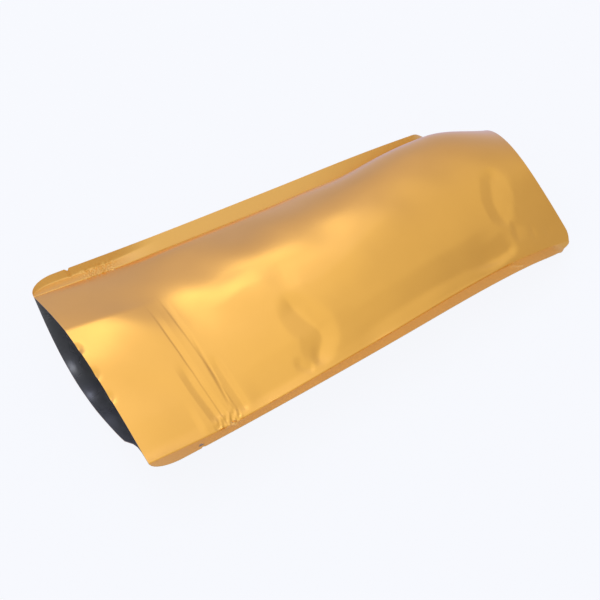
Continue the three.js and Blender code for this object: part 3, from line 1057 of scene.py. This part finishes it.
@dataclass
class PouchBody:
    """The film with its side seals and spread gusset, and the lining on its inside."""

    form: PouchForm
    grid: FilmGrid
    film_depth: float = 0.11
    lining_from: float = 0.12
    lining_to: float = 0.23
    lining_fine_to: float = 20.0
    gusset_depth: float = 19.0
    gusset_narrowing: float = 21.5
    gusset_steps: int = 8
    web: float = 0.3
    sharp_degrees: float = 42.0

    def front_shares(self) -> np.ndarray:
        """Lists the shares across the front panel."""
        edge = np.array(self.grid.fold_shares)
        middle = np.linspace(2 * edge[-1], 1 - 2 * edge[-1], self.grid.across_front + 1 - 2 * len(edge))
        return np.concatenate([edge, middle, 1 - edge[::-1]])

    def back_shares(self) -> np.ndarray:
        """Lists the shares across the back panel."""
        return np.linspace(0, 1, self.grid.across_back + 1)

    def outer_rings(self, stations: np.ndarray) -> np.ndarray:
        """Places the outside of the film, ring by ring.

        Args:
            stations: The stations of the rings.

        Returns:
            Rings of places: near seal, front, far seal, far seal below, back, near seal below.
        """
        outward = self.grid.seal_shares()
        inward = outward[::-1]
        return np.concatenate(
            [
                self.form.seal(Side.NEAR, Face.FRONT, stations, inward),
                self.form.panel(Face.FRONT, stations, self.front_shares()),
                self.form.seal(Side.FAR, Face.FRONT, stations, outward),
                self.form.seal(Side.FAR, Face.BACK, stations, inward),
                self.form.panel(Face.BACK, stations, self.back_shares()[::-1]),
                self.form.seal(Side.NEAR, Face.BACK, stations, outward),
            ],
            axis=1,
        )

    def seal_columns(self) -> np.ndarray:
        """Marks with 1 the places of a ring that lie on a side seal."""
        seal, front, back = self.grid.across_seal, self.grid.across_front + 1, self.grid.across_back + 1
        return np.concatenate(
            [np.ones(seal), np.zeros(front), np.ones(2 * seal), np.zeros(back), np.ones(seal)]
        )

    def gather_seals(self, rings: np.ndarray) -> np.ndarray:
        """Draws each ring's places on the seals in to the folds, for a surface inside the film."""
        seal, front = self.grid.across_seal, self.grid.across_front + 1
        back = self.grid.across_back + 1
        gathered = rings.copy()
        far = seal + front
        below = far + 2 * seal
        gathered[:, :seal] = rings[:, seal : seal + 1]
        gathered[:, far : far + seal] = rings[:, far - 1 : far]
        gathered[:, far + seal : below] = rings[:, below : below + 1]
        gathered[:, below + back :] = rings[:, below + back - 1 : below + back]
        return gathered

    def inside_rings(self, stations: np.ndarray, depth: float) -> np.ndarray:
        """Places a surface inside the film, at one depth under its outside.

        Args:
            stations: The stations of the rings.
            depth: How far under the outside it lies.

        Returns:
            Rings of places with the seals' places drawn in to the folds.
        """
        rings = self.outer_rings(stations)
        flat = rings.reshape(-1, 3)
        normal = vertex_normals(flat, tube_faces(*rings.shape[:2]))
        return self.gather_seals((flat - normal * depth).reshape(rings.shape))

    def gusset_rings(self) -> np.ndarray:
        """Places the gusset's recess, from the bottom edges in to its fold.

        Returns:
            Rings of places with the seals' places drawn in to the folds.
        """
        seal = self.grid.across_seal
        depths = np.linspace(0, 1, self.gusset_steps + 1)
        stations = self.form.length - self.gusset_depth * depths[::-1]
        rings = self.inside_rings(stations, 2 * self.film_depth)[::-1]
        shares = np.concatenate(
            [
                np.zeros(seal),
                self.front_shares(),
                np.ones(2 * seal),
                self.back_shares()[::-1],
                np.zeros(seal),
            ]
        )
        towards = 2 * (1 - shares) ** 2 * (1 + 2 * shares) - 1
        inset = 2 * self.film_depth + self.gusset_narrowing * (1 - np.sqrt(1 - depths**2))
        rings[..., 1] += inset[:, None] * towards[None, :]
        over = np.arange(rings.shape[1]) < 2 * seal + self.grid.across_front + 1
        rings[..., 2] -= np.where(over, 1.0, -1.0) * self.web * 4 * shares * (1 - shares)
        return rings

    def close_across(self, first: int, forward: bool) -> list[tuple[int, ...]]:
        """Closes the end of a ring from the front panel to the back one.

        Args:
            first: The ring's first place.
            forward: Whether the end faces along the rings.

        Returns:
            The faces, as one row from fold to fold.
        """
        seal, front, back = self.grid.across_seal, self.grid.across_front, self.grid.across_back
        upper = [first + seal + i for i in range(front + 1)]
        start = first + 3 * seal + front + 1
        lower = [start + back - i for i in range(back + 1)]
        faces: list[tuple[int, ...]] = []
        low = 0
        for i in range(front):
            wanted = round((i + 1) * back / front)
            if wanted > low:
                faces.append((upper[i], lower[low], lower[wanted], upper[i + 1]))
                low = wanted
            else:
                faces.append((upper[i], lower[low], upper[i + 1]))
        return faces if forward else [face[::-1] for face in faces]

    def shell(self, name: str, rings: np.ndarray, sealed: np.ndarray) -> bpy.types.Object:
        """Makes one closed shell of rings.

        Args:
            name: The piece's name.
            rings: Rings of places from one closed end to the other.
            sealed: 1 for each place on a heat-sealed band, else 0, ring by ring.

        Returns:
            The piece.
        """
        count = rings.shape[1]
        faces = [tuple(face) for face in tube_faces(len(rings), count).tolist()]
        faces += self.close_across(0, False) + self.close_across((len(rings) - 1) * count, True)
        mesh = closed_mesh(name, row_frame(rings.reshape(-1, 3)), faces, self.sharp_degrees, sealed.ravel())
        return make_object(name, mesh)

    def build_film(self, finish: bpy.types.Material) -> bpy.types.Object:
        """Builds the gold film.

        Args:
            finish: Its material.

        Returns:
            The piece.
        """
        stations = self.grid.stations(self.form.length)
        outside = self.outer_rings(stations)
        cavity = self.grid.stations(self.form.length - self.gusset_depth - self.film_depth)
        inside = self.inside_rings(cavity, self.film_depth)[::-1]
        rings = np.concatenate([inside, outside, self.gusset_rings()])
        sealed = np.zeros(rings.shape[:2])
        sealed[len(inside) : len(inside) + len(outside)] = self.seal_columns()
        film = self.shell("pouch_film", rings, sealed)
        film.data.materials.append(finish)
        return film

    def build_lining(self, finish: bpy.types.Material) -> bpy.types.Object:
        """Builds the lining on the film's inside.

        Args:
            finish: Its material.

        Returns:
            The piece.
        """
        end = self.form.length - self.gusset_depth - 2 * self.film_depth
        stations = self.grid.stations(end)
        fine = stations[stations < self.lining_fine_to]
        stations = np.unique(np.concatenate([fine, stations[::2], [end]]))
        outer = self.inside_rings(stations, self.lining_from)
        inner = self.inside_rings(stations[stations <= end - self.film_depth], self.lining_to)[::-1]
        rings = np.concatenate([inner, outer])
        lining = self.shell("pouch_lining", rings, np.zeros(rings.shape[:2]))
        lining.data.materials.append(finish)
        return lining


@dataclass(frozen=True)
class NotchShade:
    """A little dark star at the near tear notch, in the lining's finish: painted shade where the cut notch
    lies in shadow.
    """

    form: PouchForm
    at: float = 25.0
    from_fold: float = 5.9
    points: int = 6
    long_radius: float = 1.5
    short_radius: float = 0.75
    lift: float = 0.12
    depth: float = 0.1
    sharp_degrees: float = 30.0

    def build(self, finish: bpy.types.Material) -> bpy.types.Object:
        """Builds the star on the near seal.

        Args:
            finish: Its material.

        Returns:
            The piece.
        """
        turns = np.linspace(0, 2 * np.pi, 2 * self.points, endpoint=False)
        radii = np.where(np.arange(2 * self.points) % 2 == 0, self.long_radius, self.short_radius)
        spots = [(self.at, self.from_fold)]
        spots += zip(self.at + radii * np.cos(turns), self.from_fold + radii * np.sin(turns))
        places = []
        for station, width in spots:
            share = np.array([width / self.form.seal_width])
            places.append(self.form.seal(Side.NEAR, Face.FRONT, np.array([station]), share)[0, 0])
        top = np.array(places) + np.array([0.0, 0.0, self.lift])
        bottom = top - np.array([0.0, 0.0, self.depth])
        count = len(spots)
        faces: list[tuple[int, ...]] = []
        for i in range(1, count):
            following = i % (count - 1) + 1
            low, low_following = i + count, following + count
            faces += [(0, i, following), (count, low_following, low), (i, low, low_following, following)]
        both = np.concatenate([top, bottom])
        # The star is painted shade: a dark patch in the lining's finish laid on the seal at the notch.
        mesh = closed_mesh("notch_star", row_frame(both), faces, self.sharp_degrees, np.zeros(len(both)))
        mesh.materials.append(finish)
        return make_object("notch_star", mesh)


@dataclass
class ZipStrips:
    """The press-to-close zip: a strip with ribs on the inside of each panel."""

    form: PouchForm
    tracks: tuple[float, ...] = (42.0, 49.5)
    strip_from: float = 37.0
    strip_to: float = 54.0
    thickness: float = 0.45
    rib_width: float = 1.2
    rib_height: float = 1.3
    channel_half: float = 1.4
    end_share: float = 0.07
    gap: float = 1.2
    steps: int = 80
    guide_shares: int = 61
    guide_stations: int = 35
    guide_margin: float = 1.0

    def ribs(self, face: Face) -> list[float]:
        """Lists the stations of a strip's ribs: single ones in front, a pair round each at the back."""
        if face is Face.FRONT:
            return list(self.tracks)
        return [track + side * self.channel_half for track in self.tracks for side in (-1, 1)]

    def outline(self, face: Face) -> list[tuple[float, float]]:
        """Draws a strip's cross section.

        Args:
            face: The panel that carries the strip.

        Returns:
            Corners, each a station and a distance from the film.
        """
        corners = [(self.strip_from, 0.0), (self.strip_from, self.thickness)]
        for rib in self.ribs(face):
            left, right = rib - self.rib_width / 2, rib + self.rib_width / 2
            top = self.thickness + self.rib_height
            corners += [(left, self.thickness), (left, top), (right, top), (right, self.thickness)]
        return corners + [(self.strip_to, self.thickness), (self.strip_to, 0.0)]

    def guide(self, face: Face) -> bpy.types.Object:
        """Makes the smooth panel that a strip follows, with a map of stations and shares.

        Args:
            face: The panel.

        Returns:
            A helper object, removed once the strip is made.
        """
        first, last = self.strip_from - self.guide_margin, self.strip_to + self.guide_margin
        stations = np.linspace(first, last, self.guide_stations)
        shares = np.linspace(0, 1, self.guide_shares)
        places = self.form.plain_panel(face, stations[:, None], shares[None, :])
        if face is Face.FRONT:
            grid = np.broadcast_arrays(stations[:, None], shares[None, :])
            places[..., 2] += self.form.header.lift(*grid) + self.form.waves.lift(grid[0], places[..., 1])
            places[..., 2] += self.form.roll.lift(*grid)
        else:
            places[..., 2] = self.form.on_floor(places[..., 2])
        count = len(shares)
        faces = [
            (i * count + j, (i + 1) * count + j, (i + 1) * count + j + 1, i * count + j + 1)
            for i in range(len(stations) - 1)
            for j in range(count - 1)
        ]
        if face is Face.BACK:
            faces = [corners[::-1] for corners in faces]
        mesh = bpy.data.meshes.new("zip_guide")
        mesh.from_pydata(row_frame(places.reshape(-1, 3)).tolist(), [], faces)
        layer = mesh.uv_layers.new(name="zip_map")
        for corner, vertex in zip(layer.uv, [loop.vertex_index for loop in mesh.loops]):
            corner.vector = (stations[vertex // count] / self.form.length, shares[vertex % count])
        return make_object("zip_guide", mesh)

    def tree(self) -> bpy.types.NodeTree:
        """Builds the nodes that draw a cross section along a panel.

        Returns:
            The tree, with named inputs for the outline, panel, ends, steps, depth and finish.
        """
        tree = bpy.data.node_groups.new("zip_strip", "GeometryNodeTree")
        sockets = (
            ("Outline", "INPUT", "NodeSocketGeometry"), ("Panel", "INPUT", "NodeSocketObject"),
            ("First share", "INPUT", "NodeSocketFloat"), ("Last share", "INPUT", "NodeSocketFloat"),
            ("Steps", "INPUT", "NodeSocketInt"), ("Depth", "INPUT", "NodeSocketFloat"),
            ("Finish", "INPUT", "NodeSocketMaterial"), ("Strip", "OUTPUT", "NodeSocketGeometry"),
        )
        for name, way, kind in sockets:
            tree.interface.new_socket(name, in_out=way, socket_type=kind)
        given = add_node(tree, "NodeGroupInput")
        result = add_node(tree, "NodeGroupOutput")
        link = tree.links.new
        profile = add_node(tree, "GeometryNodeMeshToCurve")
        link(given.outputs["Outline"], profile.inputs["Mesh"])
        start, end = add_node(tree, "ShaderNodeCombineXYZ"), add_node(tree, "ShaderNodeCombineXYZ")
        link(given.outputs["First share"], start.inputs["Y"])
        link(given.outputs["Last share"], end.inputs["Y"])
        line = add_node(tree, "GeometryNodeCurvePrimitiveLine")
        link(start.outputs["Vector"], line.inputs["Start"])
        link(end.outputs["Vector"], line.inputs["End"])
        stepped = add_node(tree, "GeometryNodeResampleCurve")
        link(line.outputs["Curve"], stepped.inputs["Curve"])
        link(given.outputs["Steps"], stepped.inputs["Count"])
        sweep = add_node(tree, "GeometryNodeCurveToMesh")
        link(stepped.outputs["Curve"], sweep.inputs["Curve"])
        link(profile.outputs["Curve"], sweep.inputs["Profile Curve"])
        sweep.inputs["Fill Caps"].default_value = True
        place = add_node(tree, "GeometryNodeInputPosition")
        parts = add_node(tree, "ShaderNodeSeparateXYZ")
        link(place.outputs["Position"], parts.inputs["Vector"])
        spot = add_node(tree, "ShaderNodeCombineXYZ")
        link(parts.outputs["X"], spot.inputs["X"])
        link(parts.outputs["Y"], spot.inputs["Y"])
        panel = add_node(tree, "GeometryNodeObjectInfo", transform_space="ORIGINAL")
        link(given.outputs["Panel"], panel.inputs["Object"])
        panel_map = add_node(tree, "GeometryNodeInputNamedAttribute", data_type="FLOAT_VECTOR")
        panel_map.inputs["Name"].default_value = "zip_map"
        found: list[bpy.types.NodeSocket] = []
        for kind in ("GeometryNodeInputPosition", "GeometryNodeInputNormal"):
            field = add_node(tree, kind)
            sample = add_node(tree, "GeometryNodeSampleUVSurface", data_type="FLOAT_VECTOR")
            link(panel.outputs["Geometry"], sample.inputs["Mesh"])
            link(field.outputs[0], sample.inputs["Value"])
            link(panel_map.outputs["Attribute"], sample.inputs["Source UV Map"])
            link(spot.outputs["Vector"], sample.inputs["Sample UV"])
            found.append(sample.outputs["Value"])
        height = add_node(tree, "ShaderNodeMath", operation="ABSOLUTE")
        link(parts.outputs["Z"], height.inputs[0])
        deep = add_node(tree, "ShaderNodeMath", operation="ADD")
        link(height.outputs["Value"], deep.inputs[0])
        link(given.outputs["Depth"], deep.inputs[1])
        inward = add_node(tree, "ShaderNodeVectorMath", operation="SCALE")
        link(found[1], inward.inputs["Vector"])
        link(deep.outputs["Value"], inward.inputs["Scale"])
        moved = add_node(tree, "ShaderNodeVectorMath", operation="SUBTRACT")
        link(found[0], moved.inputs[0])
        link(inward.outputs["Vector"], moved.inputs[1])
        laid = add_node(tree, "GeometryNodeSetPosition")
        link(sweep.outputs["Mesh"], laid.inputs["Geometry"])
        link(moved.outputs["Vector"], laid.inputs["Position"])
        real = add_node(tree, "GeometryNodeRealizeInstances")
        link(laid.outputs["Geometry"], real.inputs["Geometry"])
        dressed = add_node(tree, "GeometryNodeSetMaterial")
        link(real.outputs["Geometry"], dressed.inputs["Geometry"])
        link(given.outputs["Finish"], dressed.inputs["Material"])
        link(dressed.outputs["Geometry"], result.inputs["Strip"])
        return tree

    def build(
        self, name: str, face: Face, tree: bpy.types.NodeTree, finish: bpy.types.Material
    ) -> bpy.types.Object:
        """Builds one strip.

        Args:
            name: The piece's name.
            face: The panel that carries it.
            tree: The nodes that draw it.
            finish: Its material.

        Returns:
            The piece.
        """
        corners = self.outline(face)
        outline = bpy.data.meshes.new("zip_outline")
        edges = [(i, (i + 1) % len(corners)) for i in range(len(corners))]
        flat = [(station / self.form.length, height * MM, 0.0) for station, height in corners]
        outline.from_pydata(flat, edges, [])
        host, guide = make_object("zip_host", outline), self.guide(face)
        modifier = host.modifiers.new("strip", "NODES")
        modifier.node_group = tree
        values = {
            "Panel": guide, "First share": self.end_share, "Last share": 1 - self.end_share,
            "Steps": self.steps, "Depth": self.gap * MM, "Finish": finish,
        }
        for item in tree.interface.items_tree:
            if item.name in values:
                modifier[item.identifier] = values[item.name]
        host.update_tag()
        bpy.context.view_layer.update()
        graph = bpy.context.evaluated_depsgraph_get()
        mesh = bpy.data.meshes.new_from_object(host.evaluated_get(graph))
        mesh.name = name
        bpy.data.objects.remove(host)
        bpy.data.objects.remove(guide)
        work = bmesh.new()
        work.from_mesh(mesh)
        bmesh.ops.recalc_face_normals(work, faces=work.faces)
        work.to_mesh(mesh)
        work.free()
        return make_object(name, mesh)


@dataclass(frozen=True)
class Softbox:
    """A flat studio light. Its turn, in degrees, is about its own axis."""

    name: str
    middle: tuple[float, float, float]
    size: tuple[float, float]
    aim: tuple[float, float, float]
    brightness: float
    tint: tuple[float, float, float]
    turn: float = 0.0

    def build(self) -> None:
        """Puts the light in the scene."""
        lamp = bpy.data.lights.new(self.name, "AREA")
        lamp.shape = "RECTANGLE"
        lamp.size, lamp.size_y = self.size
        lamp.energy = self.brightness * math.pi * self.size[0] * self.size[1]
        lamp.color = self.tint
        made = bpy.data.objects.new(self.name, lamp)
        made.location = self.middle
        facing = (Vector(self.aim) - Vector(self.middle)).to_track_quat("-Z", "Y")
        made.rotation_euler = (facing @ Quaternion((0.0, 0.0, 1.0), math.radians(self.turn))).to_euler()
        bpy.context.scene.collection.objects.link(made)


SOFTBOXES = (
    Softbox("overhead_mouth", (-0.23, 0.27, 1.0), (1.22, 1.2), (-0.23, 0.27, 0.0),
            0.23, (1.0, 1.05, 1.03), -33.0),
    Softbox("overhead_whole", (-0.03, -0.09, 1.02), (1.95, 1.42), (-0.03, -0.09, 0.0),
            0.21, (1.0, 1.05, 1.03), -33.0),
    Softbox("band", (-0.06, 0.56, 0.98), (0.5, 0.10), (-0.02, 0.0, 0.0), 3.1, (1.0, 1.03, 1.2)),
)


@dataclass(frozen=True)
class Studio:
    """The plain pale floor, the soft light round the pouch and the camera."""

    front_tone: Tone = (0.62, 0.57, 0.55, 1.0)
    back_tone: Tone = (0.63, 0.62, 0.94, 1.0)
    middle_back_tone: Tone = (0.57, 0.56, 0.98, 1.0)
    upper_back_tone: Tone = (0.68, 0.63, 0.96, 1.0)
    to_back: tuple[float, float] = (-0.2, 0.9)
    to_middle: tuple[float, float] = (0.0, 0.25)
    to_upper: tuple[float, float] = (0.28, 0.6)
    floor_colour: Tone = (0.05, 0.05, 0.05, 1.0)
    floor_roughness: float = 0.9
    floor_gloss: float = 0.1
    floor_glow_tone: Tone = (0.94, 0.957, 1.0, 1.0)
    floor_glow: float = 0.945
    floor_side: float = 8.0
    floor_height: float = -0.0004
    azimuth: float = -33.0
    elevation: float = 54.6
    distance: float = 0.9859
    target: tuple[float, float, float] = (0.00115, -0.0043596, 0.015)
    target_pixel: tuple[float, float] = (318.0, 278.4)
    lens: float = 120.0

    def light_world(self) -> None:
        """Sets the even light all round, a little cooler behind the pouch than in front of it."""
        world = bpy.data.worlds.new("surround")
        world.use_nodes = True
        tree = world.node_tree
        way = add_node(tree, "ShaderNodeTexCoord")
        parts = add_node(tree, "ShaderNodeSeparateXYZ")
        tree.links.new(way.outputs["Generated"], parts.inputs["Vector"])
        behind = add_step(tree, parts.outputs["Y"], self.to_back)
        middle = add_step(tree, parts.outputs["Z"], self.to_middle)
        lower = add_blend(tree, middle, self.back_tone, self.middle_back_tone)
        upper = add_step(tree, parts.outputs["Z"], self.to_upper)
        back = add_blend(tree, upper, lower, self.upper_back_tone)
        whole = add_blend(tree, behind, self.front_tone, back)
        tree.links.new(whole, tree.nodes["Background"].inputs["Color"])
        bpy.context.scene.world = world

    def lay_floor(self) -> None:
        """Lays the floor, which stays out of glossy reflections, so the film mirrors the even surround."""
        half = self.floor_side / 2
        mesh = bpy.data.meshes.new("studio_floor")
        corners = [(-half, -half), (half, -half), (half, half), (-half, half)]
        mesh.from_pydata([(x, y, self.floor_height) for x, y in corners], [], [(0, 1, 2, 3)])
        floor = make_object("studio_floor", mesh)
        material, _, shader = plain_material("studio_floor")
        shader.inputs["Base Color"].default_value = self.floor_colour
        shader.inputs["Roughness"].default_value = self.floor_roughness
        shader.inputs["Specular IOR Level"].default_value = self.floor_gloss
        shader.inputs["Emission Color"].default_value = self.floor_glow_tone
        shader.inputs["Emission Strength"].default_value = self.floor_glow
        mesh.materials.append(material)
        floor.visible_glossy = False

    def set_camera(self) -> None:
        """Sets the camera where the photo was taken from."""
        turn, lift = math.radians(self.azimuth), math.radians(self.elevation)
        back = Vector((math.sin(turn) * math.cos(lift), -math.cos(turn) * math.cos(lift), math.sin(lift)))
        data = bpy.data.cameras.new("camera")
        data.sensor_width = SENSOR_WIDTH
        data.lens = self.lens
        data.shift_x = (PICTURE_SIDE / 2 - self.target_pixel[0]) / PICTURE_SIDE
        data.shift_y = (self.target_pixel[1] - PICTURE_SIDE / 2) / PICTURE_SIDE
        camera = bpy.data.objects.new("camera", data)
        camera.location = Vector(self.target) + back * self.distance
        camera.rotation_euler = back.to_track_quat("Z", "Y").to_euler()
        bpy.context.scene.collection.objects.link(camera)
        bpy.context.scene.camera = camera

    def build(self) -> None:
        """Builds the whole studio."""
        self.light_world()
        for softbox in SOFTBOXES:
            softbox.build()
        self.lay_floor()
        self.set_camera()
        bpy.context.scene.view_settings.view_transform = "Standard"


def report(piece: bpy.types.Object) -> None:
    """Logs a piece's name and size."""
    low = [min(corner[i] for corner in piece.bound_box) for i in range(3)]
    high = [max(corner[i] for corner in piece.bound_box) for i in range(3)]
    sides = " x ".join(f"{(b - a) / MM:.1f}" for a, b in zip(low, high))
    LOG.info("%s: %d faces, %s mm", piece.name, len(piece.data.polygons), sides)


def main() -> None:
    """Builds the pouch, its zip and the studio."""
    logging.basicConfig(level=logging.INFO, format="%(name)s %(message)s")
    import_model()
    form = PouchForm()
    body = PouchBody(form, FilmGrid())
    film = body.build_film(GoldFilmFinish().material())
    dark = LiningFinish().material()
    lining = body.build_lining(dark)
    # A dark star in the lining's finish at the near tear notch, as painted shade.
    star = NotchShade(form).build(dark)
    strips = ZipStrips(form)
    tree = strips.tree()
    plastic = ZipFinish().material()
    front_strip = strips.build("zip_strip_front", Face.FRONT, tree, plastic)
    back_strip = strips.build("zip_strip_back", Face.BACK, tree, plastic)
    for piece in (film, lining, star, front_strip, back_strip):
        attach(piece, BODY)
        report(piece)
    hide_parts("pouch")
    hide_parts("zip_front")
    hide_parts("zip_back")
    Studio().build()


if __name__ == "__main__":
    main()
